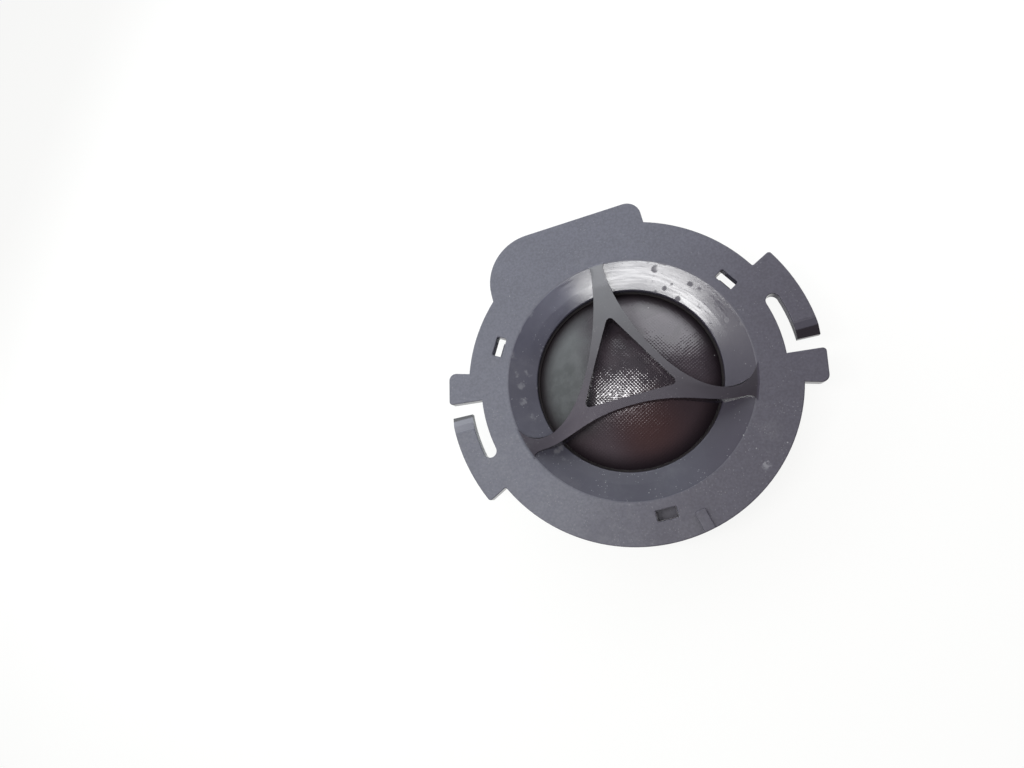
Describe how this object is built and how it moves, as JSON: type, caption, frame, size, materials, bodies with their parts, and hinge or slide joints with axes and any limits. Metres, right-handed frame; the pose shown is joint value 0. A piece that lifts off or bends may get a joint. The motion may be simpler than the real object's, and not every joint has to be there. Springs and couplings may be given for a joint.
{
  "type": "car tweeter",
  "caption": "Round soft-dome car tweeter: flat bayonet front plate with a crowned arm guard over the dome, magnet motor, cup housing and a connector socket under a side lobe.",
  "frame": {"origin": "centre of the flat rear face of the housing", "axes": "+Z along the acoustic axis, out of the front; +Y towards the connector lobe; +X to the right seen from the front"},
  "size_m": [0.061, 0.0565, 0.0189],
  "materials": {
    "plate_plastic": "fine matte moulded, satin inside the funnel",
    "housing_plastic": "satin moulded",
    "coated_cloth": "woven cloth with a damping coat",
    "ring_plastic": "satin moulded",
    "former_film": "amber film",
    "enamelled_copper": "enamelled winding",
    "plated_steel": "zinc plated",
    "magnet_nickel": "nickel plated",
    "grey_felt": "pressed felt",
    "tinned_brass": "tinned",
    "can_metal": "drawn can",
    "sleeve_film": "shrink film",
    "bung_rubber": "moulded"
  },
  "bodies": {
    "frame": {"front_plate": "plate_plastic", "rear_housing": "housing_plastic", "surround": "coated_cloth", "diaphragm_ring": "ring_plastic", "pole_plate": "plated_steel", "magnet": "magnet_nickel", "yoke_cup": "plated_steel", "damping_pad": "grey_felt", "terminal_positive": "tinned_brass", "terminal_negative": "tinned_brass", "coil_lead_positive": "enamelled_copper", "coil_lead_negative": "enamelled_copper", "capacitor_can": "can_metal", "capacitor_sleeve": "sleeve_film", "capacitor_bung": "bung_rubber", "capacitor_lead_in": "tinned_brass", "capacitor_lead_out": "tinned_brass"},
    "diaphragm": {"dome": "coated_cloth", "voice_coil_former": "former_film", "voice_coil": "enamelled_copper"}
  },
  "joints": [
    {"name": "coil_slide", "type": "slide", "parent": "frame", "child": "diaphragm", "axis": [0, 0, 1], "range_m": [-0.0004, 0.0004], "stiffness_N_per_m": 2000}
  ]
}
